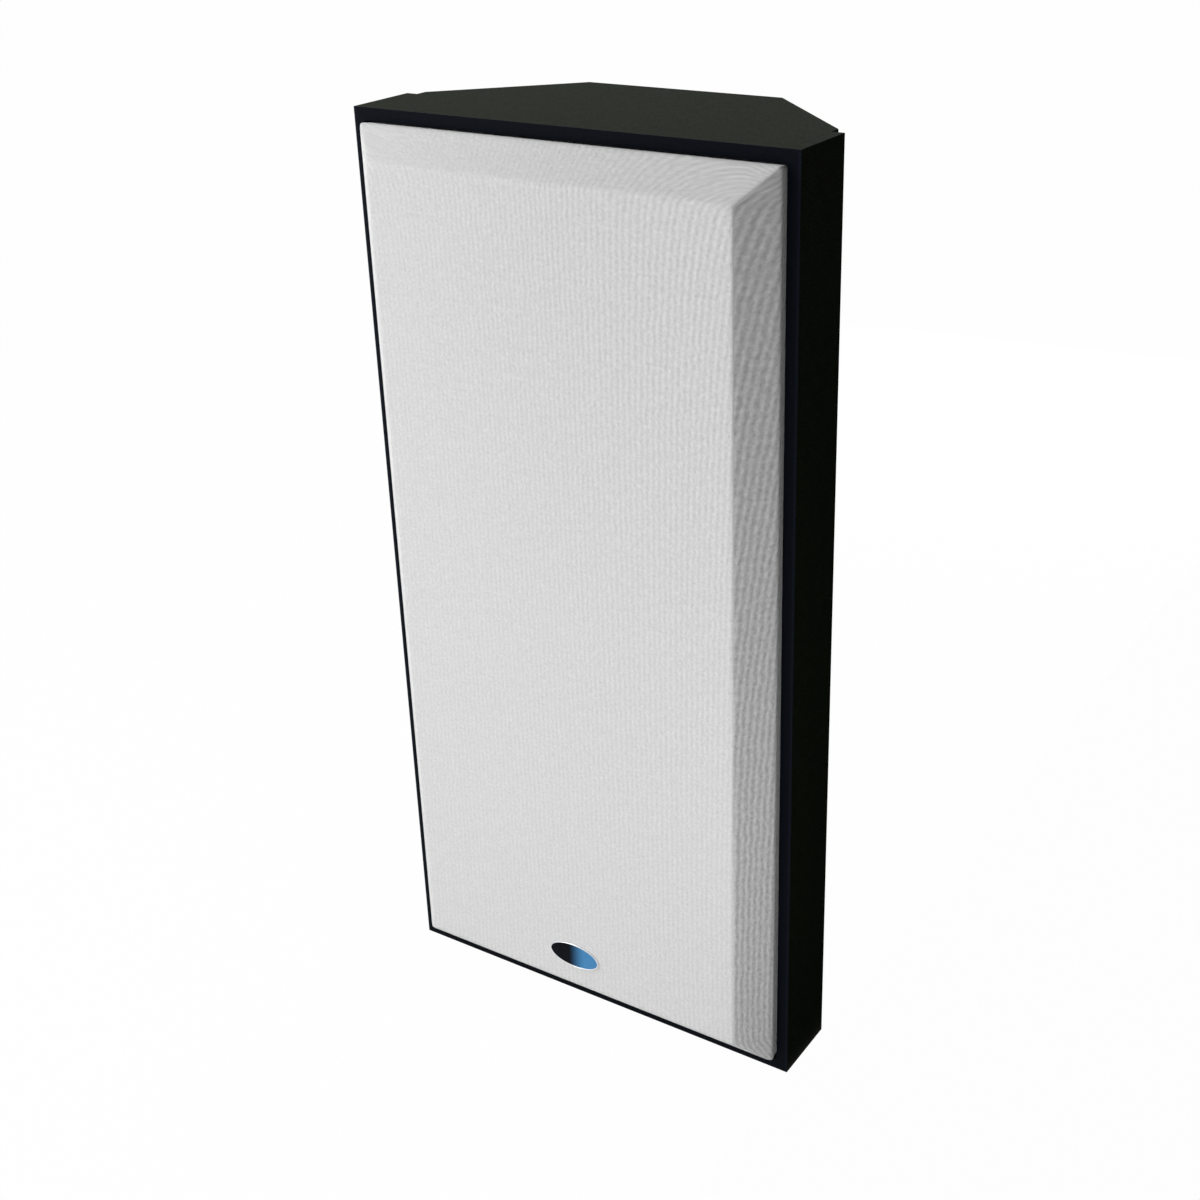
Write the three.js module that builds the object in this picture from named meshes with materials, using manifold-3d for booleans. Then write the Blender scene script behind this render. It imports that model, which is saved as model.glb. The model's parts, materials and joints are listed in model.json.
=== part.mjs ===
// Corner bass trap: a closed cabinet for a room corner, a sprung membrane inside its mouth,
// and a fabric-covered absorber that pulls off the front.
// Millimetres. The front faces -Y, +X is to the right seen from the front, and +Z is up.
// The origin is on the floor, below the middle of the whole object.
import * as THREE from "three";
import { mergeVertices } from "three/addons/utils/BufferGeometryUtils.js";
import Module from "manifold-3d";

const wasm = await Module();
wasm.setup();

// Cabinet boards
const cabinetWidth = 609.6;
const cabinetHeight = 1219.2;
const cabinetDepth = 266.7; // front edge to the back board's outer face
const sideDepth = 101.6;
const boardThickness = 15.9;
const bandThickness = 1; // edging on the boards' front edges
const rearCleatWidth = 30;
const glueLine = 0.3; // between two pieces that are glued, screwed or laid together

// Absorber panel
const panelThickness = 76.2;
const panelProud = 48.6; // how far it stands out of the cabinet
const bevelWidth = 37.5; // the bevel is cut at 45 degrees
const panelClearance = 0.7; // to the cabinet's mouth, at the sides and the top
const panelFootGap = 3.5; // to the cabinet's mouth, under the panel
const coverThickness = 1;
const coverReturn = 45; // the cover's turn-in on the back
const scrimThickness = 0.6;

// Hook and loop tape
const tapeThickness = 1.5;
const tapeWidth = 18;
const tapeLength = 150;
const tapeSpacing = 700; // between the upper and the lower tape's middle
const tapeInset = 2; // from the clamp strip's inner edge
const tapeGap = 0.3;

// Membrane and its frame
const frameWidth = 32;
const railThickness = 19;
const clampFaceThickness = 8.2; // the clamp strip in front of its rebate
const landWidth = 12; // the part of a clamp strip that bears on the rail
const gasketThickness = 3;
const gasketWidth = 16;
const gasketInset = 2; // from the frame's inner edge
const membraneThickness = 3.2;
const membraneSwingGap = 0.6; // to the gaskets, on each side
const membraneEdgeGap = 1;

// Clamp screws
const screwHeadRadius = 4;
const screwHeadHeight = 2.4;
const screwShankRadius = 2;
const screwPointHeight = 3;
const screwSocketRadius = 1.7;
const screwSocketDepth = 1.6;
const screwBite = 15; // how far a screw goes into the rail
const screwHoleClearance = 0.3;
const sideScrewCount = 4;
const crossScrewCount = 3;
const screwSegments = 8;

// Badge
const badgeWidth = 79;
const badgeHeight = 37;
const badgeThickness = 2;
const badgeRimWidth = 1.6;
const badgeRecessDepth = 0.8;
const badgeInlayGap = 0.3;
const badgeCentreHeight = 105;
const badgePinRadius = 1.5;
const badgePinLength = 12;
const badgePinSpacing = 40;
const badgePinClearance = 0.3;
const badgeSegments = 40;
const pinSegments = 8;

const cutOverrun = 5; // how far a cutter runs past the face it opens

// Places worked out from the sizes, with Y measured from the cabinet's front edge
const openingHalf = cabinetWidth / 2 - boardThickness;
const openingBottom = boardThickness;
const openingTop = cabinetHeight - boardThickness;
const wallSum = cabinetWidth / 2 + sideDepth; // |x| + y on the rear boards' outer faces
const slantThickness = boardThickness * Math.SQRT2; // a rear board measured along X or Y
const slantGlue = glueLine * Math.SQRT2;

const panelBack = panelThickness - panelProud;
const panelWall = bevelWidth - panelProud; // where the panel's side wall meets the bevel
const panelFront = -panelProud;
const bevelShift = Math.SQRT2 - 1; // how an inset moves the corner of a 45 degree bevel

const loopBack = panelBack + glueLine + tapeThickness;
const hookFront = loopBack + tapeGap;
const clampFront = hookFront + tapeThickness + glueLine;
const rebateFace = clampFront + clampFaceThickness;
const membraneFront = rebateFace + glueLine + gasketThickness + membraneSwingGap;
const membraneBack = membraneFront + membraneThickness;
const clampBack = membraneBack + membraneSwingGap + gasketThickness + glueLine;
const railFront = clampBack + glueLine;
const railBack = railFront + railThickness;

const frameHalf = openingHalf - glueLine;
const frameBottom = openingBottom + glueLine;
const frameTop = openingTop - glueLine;
const crossHalf = frameHalf - frameWidth - glueLine; // half the length of a top or bottom member
const gasketInner = frameWidth - gasketInset;
const gasketOuter = gasketInner - gasketWidth;
const membraneInset = landWidth + membraneEdgeGap;
const screwLength = railFront - clampFront + screwBite;

const objectMiddle = (cabinetDepth - panelProud - badgeThickness) / 2;

// Finishes
const finish = (color, roughness, metalness = 0) => () =>
  new THREE.MeshStandardMaterial({ color, roughness, metalness });
const blackLaminate = finish(0x232622, 0.5);
const blackEdging = finish(0x101116, 0.4);
const pine = finish(0xc8a676, 0.8);
const foam = finish(0x2d2d30, 0.9);
const loadedVinyl = finish(0x1c1c1f, 0.6);
const glassWool = finish(0xc7b25a, 0.95);
const glassTissue = finish(0xe4e1d8, 0.9);
const greyFabric = finish(0xd8d8d6, 0.95);
const blackTape = finish(0x161618, 0.9);
const zincPlate = finish(0xb9babc, 0.35, 1);
const satinSilver = finish(0xd3d8dc, 0.3, 1);
const blueEnamel = finish(0x1d4f7d, 0.25);

// Pieces as meshes

function piece(name, geometry, makeMaterial) {
  const mesh = new THREE.Mesh(geometry, makeMaterial());
  mesh.name = name;
  return mesh;
}

// A block between two corners, given as [low, high] along each axis.
function block(name, makeMaterial, x, y, z) {
  const size = [x, y, z].map(([low, high]) => high - low);
  const mesh = piece(name, new THREE.BoxGeometry(...size), makeMaterial);
  mesh.position.set(...[x, y, z].map(([low, high]) => (low + high) / 2));
  return mesh;
}

function shapeOf(points) {
  return new THREE.Shape(points.map(([x, y]) => new THREE.Vector2(x, y)));
}

// An upright piece: its outline in plan, carried from one height to another.
function upright(name, makeMaterial, plan, [bottom, top]) {
  const geometry = new THREE.ExtrudeGeometry(shapeOf(plan), { depth: top - bottom, bevelEnabled: false });
  const mesh = piece(name, geometry, makeMaterial);
  mesh.position.z = bottom;
  return mesh;
}

// A piece that lies across the cabinet: its outline in Y and Z, carried along X.
function crosswise(name, makeMaterial, section, [left, right]) {
  const geometry = new THREE.ExtrudeGeometry(shapeOf(section), { depth: right - left, bevelEnabled: false });
  const mesh = piece(name, geometry, makeMaterial);
  const turn = new THREE.Matrix4().makeBasis(
    new THREE.Vector3(0, 1, 0),
    new THREE.Vector3(0, 0, 1),
    new THREE.Vector3(1, 0, 0),
  );
  mesh.quaternion.setFromRotationMatrix(turn);
  mesh.position.x = left;
  return mesh;
}

// Cutting

function solidOf(mesh) {
  mesh.updateMatrix();
  const bare = mesh.geometry.clone().applyMatrix4(mesh.matrix);
  bare.deleteAttribute("normal");
  bare.deleteAttribute("uv");
  const merged = mergeVertices(bare);
  return new wasm.Manifold(
    new wasm.Mesh({
      numProp: 3,
      vertProperties: merged.attributes.position.array,
      triVerts: new Uint32Array(merged.index.array),
    }),
  );
}

function geometryOf(solid) {
  const { vertProperties, triVerts } = solid.getMesh();
  const geometry = new THREE.BufferGeometry();
  geometry.setAttribute("position", new THREE.BufferAttribute(vertProperties, 3));
  geometry.setIndex(new THREE.BufferAttribute(triVerts, 1));
  geometry.computeVertexNormals();
  return geometry;
}

function cut(mesh, cutters) {
  const left = cutters.reduce((solid, cutter) => solid.subtract(solidOf(cutter)), solidOf(mesh));
  mesh.geometry = geometryOf(left).applyMatrix4(mesh.matrix.clone().invert());
  return mesh;
}

const sides = [
  ["left", -1],
  ["right", 1],
];
const ordered = (a, b) => [Math.min(a, b), Math.max(a, b)];

// Cabinet: seven boards, edging on the four front edges, and cleats in the rear corners

function sideBoards() {
  return sides.flatMap(([side, sign]) => {
    const x = ordered(sign * openingHalf, (sign * cabinetWidth) / 2);
    return [
      block(`${side}_side_board`, blackLaminate, x, [bandThickness + glueLine, sideDepth], [0, cabinetHeight]),
      block(`${side}_edge_band`, blackEdging, x, [0, bandThickness], [0, cabinetHeight]),
    ];
  });
}

// The top and bottom boards lie between the side boards and cover the ends of the rear boards.
function endBoards() {
  const half = openingHalf - glueLine;
  const front = bandThickness + glueLine;
  const right = [
    [half, front],
    [half, wallSum - half],
    [wallSum - cabinetDepth, cabinetDepth],
  ];
  const left = right.map(([x, y]) => [-x, y]).reverse();
  const levels = [
    ["bottom", [0, boardThickness]],
    ["top", [openingTop, cabinetHeight]],
  ];
  return levels.flatMap(([end, z]) => [
    upright(`${end}_board`, blackLaminate, [...right, ...left], z),
    block(`${end}_edge_band`, blackEdging, [-half, half], [0, bandThickness], z),
  ]);
}

// Each rear board stands at 45 degrees, flush with the room's wall, and meets the back board in a mitre.
function rearBoards() {
  const half = openingHalf - glueLine;
  const backInner = cabinetDepth - boardThickness;
  const innerSum = wallSum - slantThickness;
  const z = [frameBottom, frameTop];
  const slanted = sides.map(([side, sign]) => {
    const plan = [
      [half, innerSum - half],
      [half, wallSum - half],
      [wallSum - cabinetDepth, cabinetDepth],
      [innerSum - backInner, backInner],
    ];
    return upright(`${side}_rear_board`, blackLaminate, plan.map(([x, y]) => [sign * x, y]), z);
  });
  const outerHalf = wallSum - cabinetDepth - glueLine;
  const innerHalf = innerSum - backInner - glueLine;
  const back = [
    [innerHalf, backInner],
    [outerHalf, cabinetDepth],
    [-outerHalf, cabinetDepth],
    [-innerHalf, backInner],
  ];
  return [...slanted, upright("back_board", blackLaminate, back, z)];
}

// A three-sided cleat is glued into each inner corner between the back board and a rear board.
function rearCleats() {
  const y = cabinetDepth - boardThickness - glueLine;
  const x = wallSum - slantThickness - slantGlue - y;
  const slantStep = rearCleatWidth * Math.SQRT1_2;
  const plan = [
    [x, y],
    [x - rearCleatWidth, y],
    [x + slantStep, y - slantStep],
  ];
  return sides.map(([side, sign]) =>
    upright(`${side}_rear_cleat`, pine, plan.map(([px, py]) => [sign * px, py]), [frameBottom, frameTop]),
  );
}

// Membrane frame: two corner posts and two rails behind, four rebated clamp strips in front

// Places round the mouth are measured inwards from the frame's outer edge.
const fromSide = (sign, inset) => sign * (frameHalf - inset);
const fromBottom = (inset) => frameBottom + inset;
const fromTop = (inset) => frameTop - inset;
const ends = [
  ["bottom", fromBottom],
  ["top", fromTop],
];

function postsAndRails() {
  const slantSum = wallSum - slantThickness - slantGlue;
  const posts = sides.map(([side, sign]) => {
    const plan = [0, frameWidth].flatMap((inset) => {
      const x = frameHalf - inset;
      const span = [
        [sign * x, railFront],
        [sign * x, slantSum - x],
      ];
      return inset ? span.reverse() : span;
    });
    return upright(`${side}_post`, pine, plan, [frameBottom, frameTop]);
  });
  const rails = ends.map(([end, place]) =>
    block(`${end}_rail`, pine, [-crossHalf, crossHalf], [railFront, railBack], ordered(place(0), place(frameWidth))),
  );
  return { posts, rails };
}

// The clamp strip's section: how far in from the frame's edge, and Y.
const clampSection = [
  [0, clampFront],
  [frameWidth, clampFront],
  [frameWidth, rebateFace],
  [landWidth, rebateFace],
  [landWidth, clampBack],
  [0, clampBack],
];

function clampStrips() {
  const upstanding = sides.map(([side, sign]) => {
    const plan = clampSection.map(([inset, y]) => [fromSide(sign, inset), y]);
    return upright(`${side}_clamp_strip`, pine, plan, [frameBottom, frameTop]);
  });
  const lying = ends.map(([end, place]) => {
    const section = clampSection.map(([inset, y]) => [y, place(inset)]);
    return crosswise(`${end}_clamp_strip`, pine, section, [-crossHalf, crossHalf]);
  });
  return { upstanding, lying };
}

// Foam gaskets line both faces that hold the membrane's edge.
function gaskets() {
  const layers = [
    ["front", [rebateFace + glueLine, rebateFace + glueLine + gasketThickness]],
    ["rear", [clampBack - glueLine - gasketThickness, clampBack - glueLine]],
  ];
  const tall = [fromBottom(gasketOuter), fromTop(gasketOuter)];
  const wide = frameHalf - gasketInner - glueLine;
  return layers.flatMap(([layer, y]) => [
    ...sides.map(([side, sign]) => {
      const x = ordered(fromSide(sign, gasketOuter), fromSide(sign, gasketInner));
      return block(`${side}_${layer}_gasket`, foam, x, y, tall);
    }),
    ...ends.map(([end, place]) => {
      const z = ordered(place(gasketOuter), place(gasketInner));
      return block(`${end}_${layer}_gasket`, foam, [-wide, wide], y, z);
    }),
  ]);
}

function membrane() {
  const half = frameHalf - membraneInset;
  const z = [fromBottom(membraneInset), fromTop(membraneInset)];
  return block("membrane", loadedVinyl, [-half, half], [membraneFront, membraneBack], z);
}

// Clamp screws, driven from the front through the strips' lands into the posts and rails

// Even places along a length, each in the middle of its own share.
function spaced(count, low, high) {
  return Array.from({ length: count }, (_, i) => low + ((high - low) * (2 * i + 1)) / (2 * count));
}

function screwPlaces() {
  const land = landWidth / 2;
  const up = spaced(sideScrewCount, frameBottom, frameTop);
  const across = spaced(crossScrewCount, -crossHalf, crossHalf);
  const rows = [
    ...sides.map(([side, sign]) => [side, up.map((z) => [fromSide(sign, land), z])]),
    ...ends.map(([end, place]) => [end, across.map((x) => [x, place(land)])]),
  ];
  return rows.flatMap(([row, places]) =>
    places.map(([x, z], i) => ({ name: `${row}_clamp_screw_${i + 1}`, x, z })),
  );
}

// A turned piece whose axis runs back from the clamp strips' face, from its radii and depths.
function turned({ name, x, z }, points) {
  const profile = points.map(([radius, depth]) => new THREE.Vector2(radius, depth));
  const mesh = piece(name, new THREE.LatheGeometry(profile, screwSegments), zincPlate);
  mesh.position.set(x, clampFront, z);
  return mesh;
}

function clampScrew(place) {
  return turned(place, [
    [0, screwSocketDepth],
    [screwSocketRadius, screwSocketDepth],
    [screwSocketRadius, 0],
    [screwHeadRadius, 0],
    [screwShankRadius, screwHeadHeight],
    [screwShankRadius, screwLength - screwPointHeight],
    [0, screwLength],
  ]);
}

function screwHole(place) {
  const head = screwHeadRadius + screwHoleClearance;
  const shank = screwShankRadius + screwHoleClearance;
  const end = screwLength + screwHoleClearance;
  return turned(place, [
    [0, -cutOverrun],
    [head, -cutOverrun],
    [head, 0],
    [shank, screwHeadHeight],
    [shank, end],
    [0, end],
  ]);
}

// Absorber: a bevelled glass-wool core in a fabric cover, with tape on its back and a badge on its front

// Rings of four corners, from front to back, of the panel's outline drawn in by an inset.
function panelRings(inset, back) {
  const ring = (draw, y) => ({
    half: openingHalf - panelClearance - draw,
    low: openingBottom + panelFootGap + draw,
    high: openingTop - panelClearance - draw,
    y,
  });
  return [
    ring(bevelWidth + inset * bevelShift, panelFront + inset),
    ring(inset, panelWall + inset * bevelShift),
    ring(inset, back),
  ];
}

// A closed surface through rings of four corners, with a flat cap on its first and on its last ring.
function lofted(name, makeMaterial, rings) {
  const corners = rings.flatMap(({ half, low, high, y }) => [
    [-half, y, low],
    [half, y, low],
    [half, y, high],
    [-half, y, high],
  ]);
  const perRing = 4;
  const faces = [];
  rings.slice(1).forEach((_, i) => {
    for (let k = 0; k < perRing; k++) {
      const a = i * perRing + k;
      const b = i * perRing + ((k + 1) % perRing);
      faces.push(a, b + perRing, b, a, a + perRing, b + perRing);
    }
  });
  const last = (rings.length - 1) * perRing;
  faces.push(0, 1, 2, 0, 2, 3);
  faces.push(last, last + 2, last + 1, last, last + 3, last + 2);
  const geometry = new THREE.BufferGeometry();
  geometry.setAttribute("position", new THREE.Float32BufferAttribute(corners.flat(), 3));
  geometry.setIndex(faces);
  geometry.computeVertexNormals();
  return piece(name, geometry, makeMaterial);
}

// The cover goes over the front and the walls and turns in round the back.
function fabricCover() {
  const [outerFront, outerWall, outerBack] = panelRings(0, panelBack);
  const [innerFront, innerWall, innerBack] = panelRings(coverThickness, panelBack - coverThickness);
  const turnIn = (y) => ({
    half: outerBack.half - coverReturn,
    low: outerBack.low + coverReturn,
    high: outerBack.high - coverReturn,
    y,
  });
  const rings = [
    outerFront,
    outerWall,
    outerBack,
    turnIn(panelBack),
    turnIn(panelBack - coverThickness),
    innerBack,
    innerWall,
    innerFront,
  ];
  return lofted("fabric_cover", greyFabric, rings);
}

function absorberFilling() {
  const inset = coverThickness + glueLine;
  const scrimBack = panelBack - coverThickness - glueLine;
  const scrimFront = scrimBack - scrimThickness;
  const rings = panelRings(inset, scrimFront - glueLine);
  const { half, low, high } = rings.at(-1);
  return {
    core: lofted("absorber_core", glassWool, rings),
    scrim: block("rear_scrim", glassTissue, [-half, half], [scrimFront, scrimBack], [low, high]),
  };
}

function tapes() {
  const inner = frameWidth - tapeInset;
  const middle = (frameBottom + frameTop) / 2;
  const heights = [
    ["lower", middle - tapeSpacing / 2],
    ["upper", middle + tapeSpacing / 2],
  ];
  const along = (kind, y) =>
    sides.flatMap(([side, sign]) =>
      heights.map(([height, z]) => {
        const x = ordered(fromSide(sign, inner), fromSide(sign, inner - tapeWidth));
        const span = [z - tapeLength / 2, z + tapeLength / 2];
        return block(`${side}_${height}_${kind}_tape`, blackTape, x, y, span);
      }),
    );
  return {
    loops: along("loop", [loopBack - tapeThickness, loopBack]),
    hooks: along("hook", [hookFront, hookFront + tapeThickness]),
  };
}

// An oval plate on the panel's front, from Y = back to Y = front.
function oval(name, makeMaterial, inset, [front, back]) {
  const edge = new THREE.EllipseCurve(0, 0, badgeWidth / 2 - inset, badgeHeight / 2 - inset);
  const points = edge.getPoints(badgeSegments).slice(0, badgeSegments);
  const depth = back - front;
  const geometry = new THREE.ExtrudeGeometry(new THREE.Shape(points), { depth, bevelEnabled: false });
  const mesh = piece(name, geometry, makeMaterial);
  mesh.rotation.x = Math.PI / 2;
  mesh.position.set(0, back, badgeCentreHeight);
  return mesh;
}

function badge() {
  const back = panelFront - glueLine;
  const front = panelFront - badgeThickness;
  const floor = front + badgeRecessDepth;
  const recess = oval("recess", satinSilver, badgeRimWidth, [front - cutOverrun, floor]);
  const plate = cut(oval("badge_plate", satinSilver, 0, [front, back]), [recess]);
  const inlay = oval("badge_inlay", blueEnamel, badgeRimWidth + badgeInlayGap, [front, floor - badgeInlayGap]);
  const pin = (name, radius, sign, [low, high]) => {
    const geometry = new THREE.CylinderGeometry(radius, radius, high - low, pinSegments);
    const mesh = piece(name, geometry, satinSilver);
    mesh.position.set((sign * badgePinSpacing) / 2, (low + high) / 2, badgeCentreHeight);
    return mesh;
  };
  const tip = panelFront + badgePinLength;
  const pins = sides.map(([side, sign]) => pin(`${side}_badge_pin`, badgePinRadius, sign, [panelFront, tip]));
  const holes = sides.map(([side, sign]) =>
    pin(`${side}_pin_hole`, badgePinRadius + badgePinClearance, sign, [
      panelFront - cutOverrun,
      tip + badgePinClearance,
    ]),
  );
  return { pieces: [plate, inlay, ...pins], holes };
}

// The whole object

function group(name, meshes) {
  const made = new THREE.Group();
  made.name = name;
  made.add(...meshes);
  return made;
}

const { posts, rails } = postsAndRails();
const { upstanding, lying } = clampStrips();
const places = screwPlaces();
const screwHoles = places.map(screwHole);
[...posts, ...rails, ...upstanding, ...lying].forEach((mesh) => cut(mesh, screwHoles));

const { core, scrim } = absorberFilling();
const { loops, hooks } = tapes();
const { pieces: badgePieces, holes: pinHoles } = badge();
const cover = cut(fabricCover(), pinHoles);
cut(core, pinHoles);

const cabinet = group("cabinet", [
  ...sideBoards(),
  ...endBoards(),
  ...rearBoards(),
  ...rearCleats(),
  ...posts,
  ...rails,
  ...upstanding,
  ...lying,
  ...gaskets(),
  ...places.map(clampScrew),
  ...hooks,
]);
const absorber = group("absorber", [core, cover, scrim, ...loops, ...badgePieces]);

const bassTrap = group("corner_bass_trap", [cabinet, group("membrane_assembly", [membrane()]), absorber]);
bassTrap.position.y = -objectMiddle;

export default bassTrap;
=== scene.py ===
"""Corner bass trap: the finishes, cloth, foam, tapes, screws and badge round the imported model."""

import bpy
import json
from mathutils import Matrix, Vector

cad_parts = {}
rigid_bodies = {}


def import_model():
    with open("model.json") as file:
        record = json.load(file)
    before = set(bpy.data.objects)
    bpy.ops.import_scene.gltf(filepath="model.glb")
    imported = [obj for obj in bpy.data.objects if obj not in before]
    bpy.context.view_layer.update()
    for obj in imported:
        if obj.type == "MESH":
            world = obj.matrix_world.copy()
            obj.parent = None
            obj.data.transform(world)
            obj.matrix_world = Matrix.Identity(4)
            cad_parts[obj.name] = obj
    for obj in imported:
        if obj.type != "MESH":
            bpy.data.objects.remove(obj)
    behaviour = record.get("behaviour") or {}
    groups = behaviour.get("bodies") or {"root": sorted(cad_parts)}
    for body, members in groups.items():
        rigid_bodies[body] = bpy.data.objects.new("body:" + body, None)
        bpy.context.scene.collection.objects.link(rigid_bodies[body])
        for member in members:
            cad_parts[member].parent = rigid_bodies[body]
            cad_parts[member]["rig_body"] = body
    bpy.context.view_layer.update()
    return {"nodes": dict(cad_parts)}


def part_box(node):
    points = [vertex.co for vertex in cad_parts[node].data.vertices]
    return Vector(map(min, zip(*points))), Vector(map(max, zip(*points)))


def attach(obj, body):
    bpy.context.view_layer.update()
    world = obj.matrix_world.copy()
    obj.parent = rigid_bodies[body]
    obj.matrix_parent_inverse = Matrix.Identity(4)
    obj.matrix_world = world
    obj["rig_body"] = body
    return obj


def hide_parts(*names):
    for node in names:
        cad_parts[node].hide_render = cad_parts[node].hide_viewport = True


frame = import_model()

import json
from math import pi, radians

import bpy
import numpy as np
from bpy.props import FloatProperty, FloatVectorProperty, PointerProperty
from bpy.types import Operator, Panel, PropertyGroup
from mathutils import Matrix, Vector

bl_info = {
    "name": "Corner bass trap",
    "version": (1, 0, 0),
    "blender": (4, 5, 0),
    "location": "3D View > Sidebar > Bass trap",
    "description": "Dresses a corner bass trap: laminate, panel cloth, tapes, foam, screws and badge",
    "category": "Add Mesh",
}

MM = 0.001
GLUE = 0.3 * MM
# Points nearer to each other than this lie on the same face.
SAME = 0.01 * MM
SIDES = ("left", "right")
ENDS = ("bottom", "top")


def linear(code):
    """An sRGB hex colour as linear red, green and blue."""
    channels = [int(code[i:i + 2], 16) / 255 for i in (0, 2, 4)]
    return [c / 12.92 if c <= 0.04045 else ((c + 0.055) / 1.055) ** 2.4 for c in channels]


def length(name, default, description):
    """A length that a user may change, in metres."""
    return FloatProperty(name=name, default=default, min=0, unit="LENGTH", description=description)


def colour(name, code, description):
    """A colour that a user may change, from its sRGB hex value."""
    return FloatVectorProperty(
        name=name, default=linear(code), size=3, min=0, max=1, subtype="COLOR", description=description
    )


class TrapSizes(PropertyGroup):
    """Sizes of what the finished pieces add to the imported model."""

    board_edge: length("Board edge", 0.2 * MM, "Rounding of the boards' edges")
    wood_edge: length("Cleat edge", 1 * MM, "Rounding of the sawn cleats' edges")
    soft_edge: length("Soft edge", 0.7 * MM, "Rounding of foam and vinyl edges")
    tape_edge: length("Tape edge", 0.3 * MM, "Rounding of the tapes' edges")
    scrim_edge: length("Scrim edge", 0.1 * MM, "Rounding of the glass tissue's edges")
    mitre_softness: length("Mitre softness", 2.6 * MM, "How softly the cloth turns over the panel's corners")
    bevel_softness: length("Bevel softness", 1.1 * MM, "How softly the cloth turns over the bevel's edges")
    back_softness: length("Back softness", 0.9 * MM, "How softly the cloth turns round the panel's back edge")
    cloth_thickness: length("Cloth thickness", 0.8 * MM, "Thickness of the panel cloth")
    rib_pitch: length("Rib pitch", 7 * MM, "Distance between the cloth's ribs where it is slack")
    rib_relief: length("Rib relief", 0.45 * MM, "Height of the cloth's ribs")
    corner_pull: length("Corner pull", 40 * MM, "How far the ribs are drawn towards the panel's corners")
    shadow_gap: length("Shadow gap", 1.6 * MM, "How far the panel's wall draws in inside the cabinet")


class TrapColours(PropertyGroup):
    """Colours of the trap's finishes."""

    laminate: colour("Laminate", "1F231A", "Black melamine on the boards")
    edging: colour("Edging", "0F131B", "ABS edging on the boards' front edges")
    cloth: colour("Cloth", "DCDCDC", "Panel cloth")
    pine: colour("Pine", "C9A678", "Pine posts, rails and strips")
    enamel_dark: colour("Badge dark", "0B0D12", "The badge's left side")
    enamel_blue: colour("Badge blue", "4D8BBE", "The badge's right side")


def sizes():
    return bpy.context.scene.trap_sizes


def colours():
    return bpy.context.scene.trap_colours


# Materials

def add(tree, kind, inputs=(), **settings):
    """Adds a node. inputs maps its input sockets to values, sockets or nodes, whose first output is taken."""
    made = tree.nodes.new(kind)
    for name, value in settings.items():
        setattr(made, name, value)
    for socket, value in dict(inputs).items():
        if isinstance(value, bpy.types.Node):
            value = value.outputs[0]
        if isinstance(value, bpy.types.NodeSocket):
            tree.links.new(value, made.inputs[socket])
        else:
            made.inputs[socket].default_value = value
    return made


def blank(name, base, roughness, **sockets):
    """A material with only its shader, and the values that are the same all over the surface."""
    made = bpy.data.materials.new(name)
    made.use_nodes = True
    shader = made.node_tree.nodes["Principled BSDF"]
    shader.inputs["Base Color"].default_value = (*base, 1)
    shader.inputs["Roughness"].default_value = roughness
    for socket, value in sockets.items():
        shader.inputs[socket.replace("_", " ")].default_value = value
    return made, made.node_tree, shader


def shaded(tree, shader, base, varied, height, spread, relief):
    """Links a colour that varies by a share, spread, about its base, and a bump of a relief in metres."""
    dark = [c * (1 - spread) for c in base]
    light = [min(1, c * (1 + spread)) for c in base]
    mixed = add(tree, "ShaderNodeMix", {0: varied, 6: (*dark, 1), 7: (*light, 1)}, data_type="RGBA")
    bump = add(tree, "ShaderNodeBump", {"Height": height, "Distance": relief, "Strength": 1})
    tree.links.new(mixed.outputs[2], shader.inputs["Base Color"])
    tree.links.new(bump.outputs[0], shader.inputs["Normal"])


# Melamine-faced chipboard, black, pressed with a fine pearl grain: dull, with a grain that just breaks the
# light. The real grain is about 0.3 mm, and is drawn at 2.5 mm to show in the render.
def black_melamine():
    base = colours().laminate
    grain_size, cloud_size = 2.5 * MM, 18 * MM
    made, tree, shader = blank("Black melamine, pearl-pressed", base, 0.55, Specular_IOR_Level=0.008)
    place = add(tree, "ShaderNodeTexCoord").outputs["Object"]
    grain = add(tree, "ShaderNodeTexNoise", {"Vector": place, "Scale": 1 / grain_size, "Detail": 3})
    cloud = add(tree, "ShaderNodeTexNoise", {"Vector": place, "Scale": 1 / cloud_size, "Detail": 3})
    both = add(tree, "ShaderNodeMix", {0: 0.85, 2: cloud, 3: grain})
    firm = add(tree, "ShaderNodeMapRange", {"Value": both, "From Min": 0.32, "From Max": 0.68})
    shaded(tree, shader, base, firm, grain, spread=0.5, relief=0.1 * MM)
    return made


# ABS edging, extruded and ironed on: smooth, a little glossier and bluer than the boards, and paler over the
# last 4 mm before the cabinet's outer corners: partly rubbed where it was trimmed flush, partly a painted
# highlight along the arris.
def abs_edging():
    base = colours().edging
    haze_size, pale_start, pale_end = 6 * MM, 4 * MM, 1 * MM
    made, tree, shader = blank("Black ABS edging, extruded", base, 0.45, Specular_IOR_Level=0.02)
    place = add(tree, "ShaderNodeTexCoord").outputs["Object"]
    haze = add(tree, "ShaderNodeTexNoise", {"Vector": place, "Scale": 1 / haze_size, "Detail": 2})
    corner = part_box("right_edge_band")[1].x
    across = add(tree, "ShaderNodeSeparateXYZ", {0: place})
    outward = add(tree, "ShaderNodeMath", {0: across.outputs["X"]}, operation="ABSOLUTE")
    # Wear and painted highlight: the edging's colour is made paler towards the cabinet's outer corners.
    pale_band = {"Value": outward, "From Min": corner - pale_start, "From Max": corner - pale_end}
    wear_and_highlight = add(tree, "ShaderNodeMapRange", pale_band)
    tone = add(tree, "ShaderNodeMath", {0: haze, 1: 0.4, 2: wear_and_highlight}, operation="MULTIPLY_ADD")
    shaded(tree, shader, base, tone, haze, spread=0.45, relief=0.01 * MM)
    return made


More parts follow.
